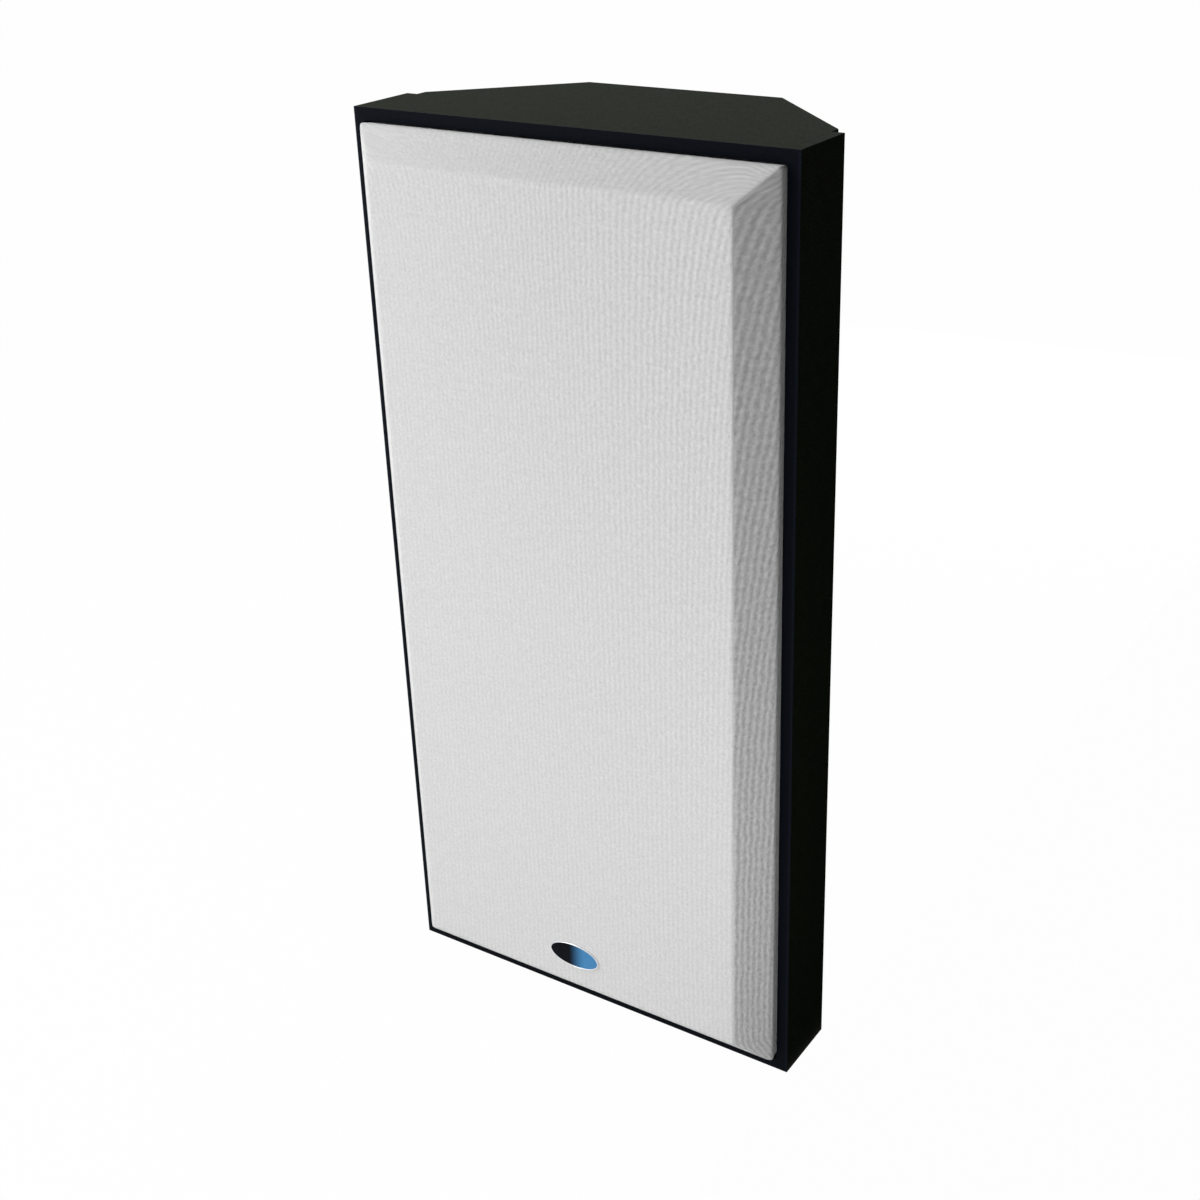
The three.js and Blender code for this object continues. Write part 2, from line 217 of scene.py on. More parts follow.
# Planed pine: pale sapwood with darker late wood, about 4 mm between rings, drawn out along the piece.
def planed_pine(grain_axis):
    base = colours().pine
    ring_pitch, fibre_size, drawn_share = 4 * MM, 0.6 * MM, 0.06
    made, tree, shader = blank(f"Planed pine, grain along {grain_axis}", base, 0.6, Specular_IOR_Level=0.3)
    place = add(tree, "ShaderNodeTexCoord").outputs["Object"]
    along = {"X": (drawn_share, 1, 1), "Z": (1, 1, drawn_share)}[grain_axis]
    drawn = add(tree, "ShaderNodeMapping", {"Vector": place, "Scale": along})
    # A wave texture's bands lie about pi / (10 * scale) apart.
    scale = pi / (10 * ring_pitch)
    wave = {"Vector": drawn, "Scale": scale, "Distortion": 6, "Detail": 3, "Detail Scale": 0.6}
    rings = add(tree, "ShaderNodeTexWave", wave, bands_direction="DIAGONAL")
    fibre = add(tree, "ShaderNodeTexNoise", {"Vector": drawn, "Scale": 1 / fibre_size, "Detail": 4})
    both = add(tree, "ShaderNodeMix", {0: 0.35, 2: rings.outputs[1], 3: fibre})
    shaded(tree, shader, base, both, fibre, spread=0.3, relief=0.08 * MM)
    return made


# Closed-cell foam strip, cut: dull, charcoal, with cut cells on its faces. The real cells are about 0.5 mm,
# and are drawn at 0.8 mm to show in the render.
def closed_cell_foam():
    base, cell_size = linear("2B2B2E"), 0.8 * MM
    made, tree, shader = blank("Charcoal foam strip, cut", base, 0.95, Specular_IOR_Level=0.2)
    place = add(tree, "ShaderNodeTexCoord").outputs["Object"]
    cells = add(tree, "ShaderNodeTexVoronoi", {"Vector": place, "Scale": 1 / cell_size})
    shaded(tree, shader, base, cells, cells, spread=0.3, relief=0.15 * MM)
    return made


# Mass-loaded vinyl, calendered: limp and dark, with a faint roll grain and dusty patches.
def loaded_vinyl():
    base, grain_size, dust_size = linear("1F2022"), 1.5 * MM, 90 * MM
    made, tree, shader = blank("Mass-loaded vinyl, calendered", base, 0.55, Specular_IOR_Level=0.4)
    place = add(tree, "ShaderNodeTexCoord").outputs["Object"]
    grain = add(tree, "ShaderNodeTexNoise", {"Vector": place, "Scale": 1 / grain_size, "Detail": 3})
    dust = add(tree, "ShaderNodeTexNoise", {"Vector": place, "Scale": 1 / dust_size, "Detail": 3})
    both = add(tree, "ShaderNodeMix", {0: 0.4, 2: dust, 3: grain})
    shaded(tree, shader, base, both, grain, spread=0.35, relief=0.08 * MM)
    return made


# Zinc-plated steel, clear-passivated: grey-silver with a faint cloudy bloom.
def zinc_plate():
    base, bloom_size = linear("C2C6CA"), 1.2 * MM
    made, tree, shader = blank("Zinc-plated steel, clear-passivated", base, 0.3, Metallic=1)
    place = add(tree, "ShaderNodeTexCoord").outputs["Object"]
    bloom = add(tree, "ShaderNodeTexNoise", {"Vector": place, "Scale": 1 / bloom_size, "Detail": 3})
    shaded(tree, shader, base, bloom, bloom, spread=0.12, relief=0.01 * MM)
    return made


# Nylon touch tape, woven: black and dull, with a field of hooks or a finer nap of loops.
def touch_tape(kind, pitch, relief):
    base = linear("17171A")
    made, tree, shader = blank(f"Black nylon {kind} tape, woven", base, 0.9, Specular_IOR_Level=0.25)
    place = add(tree, "ShaderNodeTexCoord").outputs["Object"]
    nap = add(tree, "ShaderNodeTexVoronoi", {"Vector": place, "Scale": 1 / pitch})
    shaded(tree, shader, base, nap, nap, spread=0.5, relief=relief)
    return made


# Resin-bonded glass wool: yellow, matted in tufts of about 4 mm that lie mostly in the plane of the board.
def glass_wool():
    base, tuft_size, flatness = linear("C9B45C"), 4 * MM, 4
    made, tree, shader = blank("Glass wool, resin-bonded", base, 0.95, Specular_IOR_Level=0.15)
    place = add(tree, "ShaderNodeTexCoord").outputs["Object"]
    drawn = add(tree, "ShaderNodeMapping", {"Vector": place, "Scale": (1, flatness, 1)})
    matted = {"Vector": drawn, "Scale": 1 / tuft_size, "Detail": 5, "Distortion": 1.5}
    fibre = add(tree, "ShaderNodeTexNoise", matted)
    shaded(tree, shader, base, fibre, fibre, spread=0.3, relief=1 * MM)
    return made


# Glass tissue, wet-laid: off-white, thin, with strands that lie every way.
def glass_tissue():
    base, strand_size = linear("E2DFD6"), 9 * MM
    made, tree, shader = blank("Glass tissue, wet-laid", base, 0.9, Specular_IOR_Level=0.2)
    place = add(tree, "ShaderNodeTexCoord").outputs["Object"]
    laid = {"Vector": place, "Scale": 1 / strand_size, "Detail": 6, "Distortion": 3}
    strands = add(tree, "ShaderNodeTexNoise", laid)
    shaded(tree, shader, base, strands, strands, spread=0.08, relief=0.2 * MM)
    return made


def open_ribs(tree, cloth, rib_pitch):
    """Ribs that wander a little, with eyelets among them, times how far the knit is drawn open."""
    wander_size, wander_reach = 22 * MM, 4 * MM
    eyelet_width, eyelet_height = 3.6 * MM, 7.5 * MM
    open_knit_and_shade = add(tree, "ShaderNodeAttribute", attribute_name="open_knit_and_shade").outputs["Fac"]
    across = add(tree, "ShaderNodeSeparateXYZ", {0: cloth}).outputs["X"]
    wander = add(tree, "ShaderNodeTexNoise", {"Vector": cloth, "Scale": 1 / wander_size, "Detail": 1})
    strayed = add(tree, "ShaderNodeMath", {0: wander, 1: wander_reach, 2: across}, operation="MULTIPLY_ADD")
    turn = add(tree, "ShaderNodeMath", {0: strayed, 1: 2 * pi / rib_pitch}, operation="MULTIPLY")
    ribs = add(tree, "ShaderNodeMath", {0: turn}, operation="SINE")
    per_eyelet = (1 / eyelet_width, 1 / eyelet_height, 1)
    eyelet = add(tree, "ShaderNodeMapping", {"Vector": cloth, "Scale": per_eyelet})
    holes = add(tree, "ShaderNodeTexNoise", {"Vector": eyelet, "Scale": 1, "Detail": 1})
    firm = {"Value": holes, "From Min": 0.3, "From Max": 0.7, "To Min": -0.75, "To Max": 0.75}
    eyelets = add(tree, "ShaderNodeMapRange", firm)
    knit = add(tree, "ShaderNodeMath", {0: ribs, 1: 0.85, 2: eyelets}, operation="MULTIPLY_ADD")
    return add(tree, "ShaderNodeMath", {0: knit, 1: open_knit_and_shade}, operation="MULTIPLY")


# Polyester panel cloth, warp-knitted: light grey, soft, with fine upright ribs of stitches and no gloss.
# The real stitches are about 1.5 mm, and are drawn at 3 mm, in ribs of 7 mm, to show in the render. The
# attribute says how far the knit is drawn open, which deepens the ribs and the eyelets between them, and also
# colours them darker as painted shade, most on the side bevels and towards the upper right. Uneven
# tension leaves faint patches about 14 mm across.
def panel_cloth():
    size, base = sizes(), colours().cloth
    stitch_width, stitch_height, patch_size = 3 * MM, 3.6 * MM, 14 * MM
    made, tree, shader = blank(
        "Grey polyester panel cloth, warp-knitted",
        base,
        0.95,
        Specular_IOR_Level=0.1,
        Sheen_Weight=0.08,
        Sheen_Roughness=0.6,
    )
    cloth = add(tree, "ShaderNodeUVMap", uv_map="cloth")
    ribs = open_ribs(tree, cloth, size.rib_pitch)
    per_stitch = (1 / stitch_width, 1 / stitch_height, 1)
    stitch = add(tree, "ShaderNodeMapping", {"Vector": cloth, "Scale": per_stitch})
    slub = add(tree, "ShaderNodeTexNoise", {"Vector": stitch, "Scale": 1, "Detail": 1})
    flecks = add(tree, "ShaderNodeMapRange", {"Value": slub, "To Min": 0.11, "To Max": 0.71})
    height = add(tree, "ShaderNodeMath", {0: ribs, 1: 0.25, 2: slub}, operation="MULTIPLY_ADD")
    # Painted shade: the knit's grooves and eyelets are coloured darker, by more where the knit is drawn open.
    flecks_and_gap_shade = add(tree, "ShaderNodeMath", {0: ribs, 1: 0.4, 2: flecks}, operation="MULTIPLY_ADD")
    tension = add(tree, "ShaderNodeTexNoise", {"Vector": cloth, "Scale": 1 / patch_size, "Detail": 2})
    uneven_and_shaded = add(tree, "ShaderNodeMath", {0: tension, 1: 0.18, 2: flecks_and_gap_shade}, operation="MULTIPLY_ADD")
    shaded(tree, shader, base, uneven_and_shaded, height, spread=0.24, relief=size.rib_relief)
    return made


# Satin nickel: pale silver, evenly brushed.
def satin_nickel():
    base, brush_size = linear("E6E8EA"), 0.5 * MM
    made, tree, shader = blank("Satin nickel plate", base, 0.32, Metallic=1)
    place = add(tree, "ShaderNodeTexCoord").outputs["Object"]
    brush = add(tree, "ShaderNodeTexNoise", {"Vector": place, "Scale": 1 / brush_size, "Detail": 2})
    shaded(tree, shader, base, brush, brush, spread=0.05, relief=0.004 * MM)
    return made


# Domed resin over enamel: black at the left, fading to blue at the right with a few specks, under a glassy
# skin. The fade runs from a quarter of the way left of the middle to half of the way right of it.
def domed_enamel(middle, half):
    dark, blue = colours().enamel_dark, colours().enamel_blue
    speck_size, speck_share = 1.5 * MM, 0.12
    made, tree, shader = blank(
        "Badge enamel under domed resin",
        blue,
        0.12,
        Specular_IOR_Level=0.02,
        Coat_Weight=0.02,
        Coat_Roughness=0.04,
    )
    place = add(tree, "ShaderNodeTexCoord").outputs["Object"]
    across = add(tree, "ShaderNodeSeparateXYZ", {0: place}).outputs["X"]
    fade = {"Value": across, "From Min": middle - 0.25 * half, "From Max": middle + 0.5 * half}
    faded = add(tree, "ShaderNodeMapRange", fade, interpolation_type="SMOOTHSTEP")
    speck = add(tree, "ShaderNodeTexNoise", {"Vector": place, "Scale": 1 / speck_size, "Detail": 2})
    flecked = add(tree, "ShaderNodeMath", {0: speck, 1: speck_share, 2: faded}, operation="MULTIPLY_ADD")
    held = add(tree, "ShaderNodeMath", {0: flecked, 1: speck_share / 2}, operation="SUBTRACT")
    mixed = add(tree, "ShaderNodeMix", {0: held, 6: (*dark, 1), 7: (*blue, 1)}, data_type="RGBA")
    tree.links.new(mixed.outputs[2], shader.inputs["Base Color"])
    return made


# Meshes

def points_of(node):
    """A CAD node's points, as an array of rows."""
    data = frame["nodes"][node].data
    flat = np.empty(3 * len(data.vertices), np.float32)
    data.vertices.foreach_get("co", flat)
    return flat.reshape(-1, 3).astype(float)


def strip_faces(rings):
    """Quads between neighbouring rings, given as rows of point numbers that each close on themselves."""
    after = np.roll(rings, -1, 1)
    return np.stack([rings[:-1], after[:-1], after[1:], rings[1:]], -1).reshape(-1, 4)


def finished(name, points, faces, nodes, finish, smooth=False):
    """Makes a piece of a mesh, gives it its finish and seats it on the body of the nodes it stands for."""
    data = bpy.data.meshes.new(name)
    data.from_pydata(points.reshape(-1, 3).tolist(), [], [list(map(int, face)) for face in faces])
    data.polygons.foreach_set("use_smooth", np.full(len(data.polygons), smooth))
    data.materials.append(finish)
    data.update()
    piece = bpy.data.objects.new(name, data)
    bpy.context.collection.objects.link(piece)
    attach(piece, frame["nodes"][nodes[0]]["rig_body"])
    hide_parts(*nodes)
    return piece


def capped(rings):
    """Points and faces of a closed skin over rings of equal count, with a flat face at each end."""
    count, around = rings.shape[:2]
    numbers = np.arange(count * around).reshape(count, around)
    return rings.reshape(-1, 3), [*strip_faces(numbers), numbers[0, ::-1], numbers[-1]]


def slab_rings(plan, low, high, edge):
    """Rings of an upright slab with rounded corners and quarter-round edges.

    Each corner of the convex plan becomes an arc about a centre that lies 1.5 edges inside both its sides. A
    ring's arcs have that radius less its inset. From the bottom the inset is edge * (1 - sin turn) and the
    height low + edge * (1 - cos turn), for a turn of 0 to 90 degrees, and the top mirrors that."""
    steps = 4
    radius = 1.5 * edge
    ahead = np.roll(plan, -1, 0) - plan
    normal = np.stack([ahead[:, 1], -ahead[:, 0]], 1) / np.linalg.norm(ahead, axis=1)[:, None]
    before = np.roll(normal, 1, 0)
    across = before[:, 0] * normal[:, 1] - before[:, 1] * normal[:, 0]
    alike = (before * normal).sum(1)
    centre = plan - radius * (before + normal) / (1 + alike)[:, None]
    share = np.linspace(0, 1, steps)
    angle = np.arctan2(before[:, 1], before[:, 0])[:, None] + np.arctan2(across, alike)[:, None] * share
    spoke = np.stack([np.cos(angle), np.sin(angle)], -1)
    turn = share * pi / 2
    inset, rise = edge * (1 - np.sin(turn)), edge * (1 - np.cos(turn))
    insets = np.concatenate([inset, inset[::-1]])
    heights = np.concatenate([low + rise, high - rise[::-1]])
    flat = centre[None, :, None] + (radius - insets)[:, None, None, None] * spoke[None]
    flat = flat.reshape(len(insets), -1, 2)
    return np.concatenate([flat, np.broadcast_to(heights[:, None, None], (*flat.shape[:2], 1))], -1)


def plan_of(node):
    """A convex upright node's corners in plan, anticlockwise from above, and its lowest and highest level."""
    points = points_of(node)
    level = points[:, 2]
    corners = np.unique(points[level < level.min() + SAME, :2].round(6), axis=0)
    spoke = corners - corners.mean(0)
    return corners[np.argsort(np.arctan2(spoke[:, 1], spoke[:, 0]))], level.min(), level.max()


def rounded(node, edge, finish, widen=0, heighten=0):
    """A board, sheet or strip with its edges rounded, in place of its sharp-edged node, made wider to both
    sides and higher at both ends."""
    plan, low, high = plan_of(node)
    end_zone = 1 * MM
    plan[:, 0] += widen * np.sign(plan[:, 0]) * (abs(plan[:, 0]) > abs(plan[:, 0]).max() - end_zone)
    rings = slab_rings(plan, low - heighten, high + heighten, edge)
    return finished(f"{node}_rounded", *capped(rings), [node], finish)


def dressed(node, finish):
    """Gives a CAD node its finish."""
    for place in frame["nodes"][node].material_slots:
        place.material = finish


# The absorber's bevelled form

def softplus(t, width):
    """width * log(1 + exp(t / width)): nothing well below zero, t well above it, and a soft turn between."""
    return width * np.logaddexp(0, t / width)


def softmin(t, limit, width):
    """The lesser of t and limit, with a soft turn where they meet."""
    return limit - softplus(limit - t, width)


class PanelForm:
    """The bevelled panel's outer form, from the corners of the CAD node that it follows.

    A point has two parameters. t is its way in from the panel's outline, measured level: positive over the
    bevel and the front, and negative down the wall and in across the back. skew says how much nearer it is to
    an upright edge than to a level one, so it is zero on the mitres."""

    def __init__(self, node):
        points = points_of(node)
        low, high = points.min(0), points.max(0)
        self.half_width, self.half_height = (high[0] - low[0]) / 2, (high[2] - low[2]) / 2
        self.middle = (high[2] + low[2]) / 2
        self.front, self.back = low[1], high[1]
        self.wall_front = points[points[:, 0] > high[0] - SAME, 1].min()
        self.bevel = self.wall_front - self.front
        self.wall = self.back - self.wall_front

    def place(self, side, end, t, skew):
        """Points for sides and ends of -1, 0 or 1.

        ahead = softplus(t), and behind = softplus(-t - wall) + drawn. drawn lets the wall lean in by 0.3 of
        the way past 5 mm behind its front edge, up to the shadow gap. The way in from an upright edge is
        ahead + behind + softplus(skew) * (1 - behind / half width), and from a level one the same with -skew
        and the half height. skew turns over half as softly at the outline as on the front. The depth is
        wall_front - softmin(t, bevel), but not past the back."""
        size = sizes()
        lean, lean_start, lean_softness, gap_softness = 0.3, 5 * MM, 1 * MM, 0.3 * MM
        ahead = softplus(t, size.bevel_softness)
        drawn = softmin(lean * softplus(-t - lean_start, lean_softness), size.shadow_gap, gap_softness)
        behind = softplus(-t - self.wall, size.back_softness) + drawn
        turn = size.mitre_softness * (1 + np.clip(t / self.bevel, 0, 1)) / 2
        from_side = ahead + behind + softplus(skew, turn) * (1 - behind / self.half_width)
        from_end = ahead + behind + softplus(-skew, turn) * (1 - behind / self.half_height)
        depth = self.wall_front - softmin(t, self.bevel, size.bevel_softness)
        depth = softmin(depth, self.back, size.back_softness)
        x = side * (self.half_width - from_side)
        z = self.middle + end * (self.half_height - from_end)
        return np.stack(np.broadcast_arrays(x, depth, z), -1)

    def spread(self, half):
        """Places from -half to half, close together over the bevels and wide apart between them."""
        margin, fine, coarse = 10 * MM, 1.6 * MM, 9 * MM
        zone = self.bevel + margin
        outer = np.linspace(half - zone, half, round(zone / fine) + 1)
        inner = np.linspace(zone - half, half - zone, 2 * round((half - zone) / coarse) + 1)
        return np.concatenate([-outer[::-1], inner[1:-1], outer])

    def skin(self, turn_in):
        """Points, faces, cloth coordinates and the last ring's point numbers of a skin over the front, down
        the walls and in across the back by turn_in."""
        across, up = np.meshgrid(self.spread(self.half_width), self.spread(self.half_height))
        from_side, from_end = self.half_width - abs(across), self.half_height - abs(up)
        skew = from_side - from_end
        front = self.place(np.sign(across), np.sign(up), np.minimum(from_side, from_end), skew)
        rows, columns = across.shape
        numbers = np.arange(rows * columns).reshape(rows, columns)
        quads = np.stack([numbers[:-1, :-1], numbers[:-1, 1:], numbers[1:, 1:], numbers[1:, :-1]], -1)

        steps = 12
        edge = np.concatenate([numbers[0, :-1], numbers[:-1, -1], numbers[-1, :0:-1], numbers[:0:-1, 0]])
        ease = (1 - np.cos(pi * np.linspace(0, 1, steps + 1)[1:])) / 2
        t = -np.concatenate([self.wall * ease, self.wall + turn_in * ease])[:, None]
        skew = skew.flat[edge]
        behind = self.place(np.sign(across).flat[edge], np.sign(up).flat[edge], t, skew)
        rings = np.vstack([edge, numbers.size + np.arange(behind[..., 0].size).reshape(len(t), -1)])

        points = np.concatenate([front.reshape(-1, 3), behind.reshape(-1, 3)])
        faces = np.concatenate([quads.reshape(-1, 4), strip_faces(rings)[:, ::-1]])
        cloth = self.cloth(front, behind, t, skew, edge)
        return points, faces, cloth, rings[-1]

    def openness_and_shade(self, points):
        """How far the knit is drawn open, from 0 to 1, which also sets how much painted shade darkens its
        grooves and eyelets.

        It is 0.78 on the side bevels and walls. On the front it is 0.14 + 0.32 * rise * exp(-distance below
        the top / 600 mm), where rise goes from 0 to 1 over the middle 0.8 of the width. The end bevels have
        0.4 of that at the left, and 0.8 at the right."""
        side_open_and_shade, least, most, fade = 0.78, 0.14, 0.32, 600 * MM
        ramp_share, end_share = 0.8, 0.4
        x, z = points[:, 0], points[:, 2] - self.middle
        from_side, from_end = self.half_width - abs(x), self.half_height - abs(z)
        rise = np.clip((x / self.half_width + ramp_share) / (2 * ramp_share), 0, 1)
        front = least + most * rise * np.exp((z - self.half_height) / fade)
        front = np.where(from_end < self.bevel, end_share * (1 + rise) * front, front)
        return np.where((from_side < self.bevel) & (from_side < from_end), side_open_and_shade, front)

    def stretch(self, x, z):
        """How much farther apart the ribs stand than on slack cloth, as a natural logarithm.

        The cloth was pulled hardest at the upper right: 0.23 times a smooth step from the middle to 130 mm
        right of it, plus 0.45 over the right bevel, all times exp(-distance below the top / 500 mm)."""
        front_pull, bevel_pull, ramp, fade = 0.23, 0.45, 130 * MM, 500 * MM
        step = np.clip(x / ramp, 0, 1)
        over = x > self.half_width - self.bevel
        drawn = front_pull * step ** 2 * (3 - 2 * step) + bevel_pull * over
        return drawn * np.exp((z - self.half_height) / fade)

    def cloth(self, front, behind, t, skew, edge):
        """Where each point lies on the flat cloth, in metres.

        Over the front it is the way along the surface from the middle, along a level line for the first
        coordinate, each step times exp(-stretch), and up an upright one for the second. Behind, it goes on
        outwards by the way down the wall."""
        slack = np.exp(-self.stretch(front[..., 0], front[..., 2] - self.middle))[:, 1:]
        u = (slack * np.hypot(np.diff(front[..., 0], axis=1), np.diff(front[..., 1], axis=1))).cumsum(1)
        v = np.hypot(np.diff(front[..., 2], axis=0), np.diff(front[..., 1], axis=0)).cumsum(0)
        u, v = np.pad(u, ((0, 0), (1, 0))), np.pad(v, ((1, 0), (0, 0)))
        u, v = u - u[:, u.shape[1] // 2, None], v - v[-1:] / 2
        flat = np.stack([u, v], -1)
        sideways = 1 / (1 + np.exp(skew / sizes().mitre_softness))
        outward = np.stack([np.sign(u.flat[edge]) * sideways, np.sign(v.flat[edge]) * (1 - sideways)], -1)
        down = flat.reshape(-1, 2)[edge] - t[..., None] * outward
        flat = np.concatenate([flat.reshape(-1, 2), down.reshape(-1, 2)])
        return self.pulled(flat, np.concatenate([front.reshape(-1, 3), behind.reshape(-1, 3)]))

    def pulled(self, flat, points):
        """Draws the ribs towards the corners, where the cloth was pulled tight.

        On the front the draw is the pull times exp(-distance below the end / 100 mm), plus 2.2 pulls over
        the bevel there, and it falls off inwards as exp(-distance from the wall / 100 mm). The side bevels
        have 0.2 of that, and the lower corners 0.3. The side bevels' ribs also lean by 0.06 down to 660 mm
        below the top, and by up to 0.25 more in the last 40 mm before each corner."""
        reach, end_pulls, end_softness, side_share = 100 * MM, 2.2, 4 * MM, 0.2
        lean, lean_reach, lean_softness = 0.06, 660 * MM, 50 * MM
        corner_lean, corner_reach, lower_share = 0.25, 40 * MM, 0.3
        pull, x, z = sizes().corner_pull, points[:, 0], points[:, 2] - self.middle
        from_side, from_end = self.half_width - abs(x), self.half_height - abs(z)
        over_side = np.sign(x) * ((from_side < self.bevel) & (from_side < from_end))
        across = pull * np.exp(-from_side / reach) * np.tanh(x / reach)
        across = across * (1 - (1 - side_share) * abs(over_side))
        shift = lean * over_side * softplus(z - self.half_height + lean_reach, lean_softness)
        for share, way in ((1, z), (lower_share, -z)):
            below = self.half_height - way
            over_end = softplus(self.bevel - below, end_softness) / self.bevel
            shift = shift + share * across * (np.exp(-below / reach) + end_pulls * over_end)
            shift = shift + share * over_side * corner_lean * corner_reach * np.exp(-below / corner_reach)
        return flat - np.stack([shift, np.zeros_like(shift)], -1)


# Operators

class TRAP_OT_boards(Operator):
    """Makes the boards and their edging, with rounded edges"""

    bl_idname = "trap.boards"
    bl_label = "Boards and edging"

    def execute(self, context):
        edge = sizes().board_edge
        melamine, edging = black_melamine(), abs_edging()
        for side in SIDES:
            rounded(f"{side}_side_board", edge, melamine)
            rounded(f"{side}_rear_board", edge, melamine)
            rounded(f"{side}_edge_band", edge / 2, edging)
        for end in ENDS:
            rounded(f"{end}_board", edge, melamine, widen=GLUE)
            rounded(f"{end}_edge_band", edge / 2, edging, widen=GLUE)
        rounded("back_board", edge, melamine)
        return {"FINISHED"}


class TRAP_OT_woodwork(Operator):
    """Gives the cleats, posts, rails and clamp strips their pine"""

    bl_idname = "trap.woodwork"
    bl_label = "Pine frame"

    def execute(self, context):
        upright, lying = planed_pine("Z"), planed_pine("X")
        for side in SIDES:
            rounded(f"{side}_rear_cleat", sizes().wood_edge, upright)
            dressed(f"{side}_post", upright)
            dressed(f"{side}_clamp_strip", upright)
        for end in ENDS:
            dressed(f"{end}_rail", lying)
            dressed(f"{end}_clamp_strip", lying)
        return {"FINISHED"}


class TRAP_OT_membrane(Operator):
    """Makes the membrane and its foam gaskets"""

    bl_idname = "trap.membrane"
    bl_label = "Membrane and gaskets"

    def execute(self, context):
        edge = sizes().soft_edge
        sheet = rounded("membrane", edge, loaded_vinyl())
        foam = closed_cell_foam()
        for layer in ("front", "rear"):
            for place in SIDES + ENDS:
                rounded(f"{place}_{layer}_gasket", edge, foam)
        return {"FINISHED"}


class TRAP_OT_screws(Operator):
    """Makes the countersunk clamp screws with their cross recesses"""

    bl_idname = "trap.screws"
    bl_label = "Clamp screws"

    def execute(self, context):
        finish = zinc_plate()
        for node in [n for n in frame["nodes"] if "_clamp_screw_" in n]:
            finished(f"{node}_turned", *capped(self.rings(node)), [node], finish)
        return {"FINISHED"}

    def rings(self, node):
        """Rings of a screw, from its point to its head and down into the recess.

        A ring's radius is its own, times 1 + 0.35 * cos(4 * angle) in the recess, which makes a cross."""
        low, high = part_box(node)
        middle, whole, around, cross = (low + high) / 2, high.y - low.y, 32, 0.35
        head, shank, point, rim = 3.9 * MM, 1.95 * MM, 0.1 * MM, 0.25 * MM
        cone, tip = 2.4 * MM, 3 * MM
        rows = np.array([
            # radius, depth from the head's face, how much of a cross
            (point, whole, 0),
            (shank, whole - tip, 0),
            (shank, cone, 0),
            (head, rim, 0),
            (head - rim / 2, rim / 4, 0),
            (head - rim, 0, 0),
            (1.35 * MM, 0, 1),
            (1.1 * MM, 0.5 * MM, 1),
            (0.7 * MM, 1.4 * MM, 1),
        ])
        angle = np.arange(around) * 2 * pi / around
        radius = rows[:, :1] * (1 + cross * rows[:, 2:] * np.cos(4 * angle))
        depth = np.broadcast_to(low.y + rows[:, 1:2], radius.shape)
        return np.stack([middle.x + radius * np.cos(angle), depth, middle.z + radius * np.sin(angle)], -1)


class TRAP_OT_tapes(Operator):
    """Makes the hook tapes on the clamp strips and the loop tapes on the panel's back"""

    bl_idname = "trap.tapes"
    bl_label = "Hook and loop tapes"

    def execute(self, context):
        edge = sizes().tape_edge
        finishes = {
            "hook": touch_tape("hook", pitch=1.6 * MM, relief=0.3 * MM),
            "loop": touch_tape("loop", pitch=0.9 * MM, relief=0.2 * MM),
        }
        for side in SIDES:
            for height in ("lower", "upper"):
                for kind, finish in finishes.items():
                    rounded(f"{side}_{height}_{kind}_tape", edge, finish)
        return {"FINISHED"}


class TRAP_OT_absorber(Operator):
    """Makes the glass-wool core and the tissue on its back"""

    bl_idname = "trap.absorber"
    bl_label = "Absorber core and scrim"

    def execute(self, context):
        last_ring_in = 40 * MM
        points, faces, _, last = PanelForm("absorber_core").skin(last_ring_in)
        faces = [*faces, last[::-1]]
        core = finished("glass_wool_core", points, faces, ["absorber_core"], glass_wool(), smooth=True)
        # The tissue is cut smaller than the core, so that it stays inside the cover's soft back edge.
        trim = 3 * MM
        scrim = rounded("rear_scrim", sizes().scrim_edge, glass_tissue(), widen=-trim, heighten=-trim)
        return {"FINISHED"}


class TRAP_OT_cover(Operator):
    """Makes the cloth cover, stretched over the core and turned in round its back"""

    bl_idname = "trap.cover"
    bl_label = "Fabric cover"

    def execute(self, context):
        form = PanelForm("fabric_cover")
        turn_in = 45 * MM
        points, faces, cloth, _ = form.skin(turn_in)
        cover = finished("stretched_cover", points, faces, ["fabric_cover"], panel_cloth(), smooth=True)
        layer = cover.data.uv_layers.new(name="cloth")
        corner = np.empty(len(cover.data.loops), np.int32)
        cover.data.loops.foreach_get("vertex_index", corner)
        layer.uv.foreach_set("vector", cloth[corner].astype(np.float32).ravel())
        opened_and_shaded = cover.data.attributes.new("open_knit_and_shade", "FLOAT", "POINT")
        opened_and_shaded.data.foreach_set("value", form.openness_and_shade(points))
        wall = cover.modifiers.new("Cloth thickness", "SOLIDIFY")
        wall.thickness, wall.offset = sizes().cloth_thickness, -1
        return {"FINISHED"}


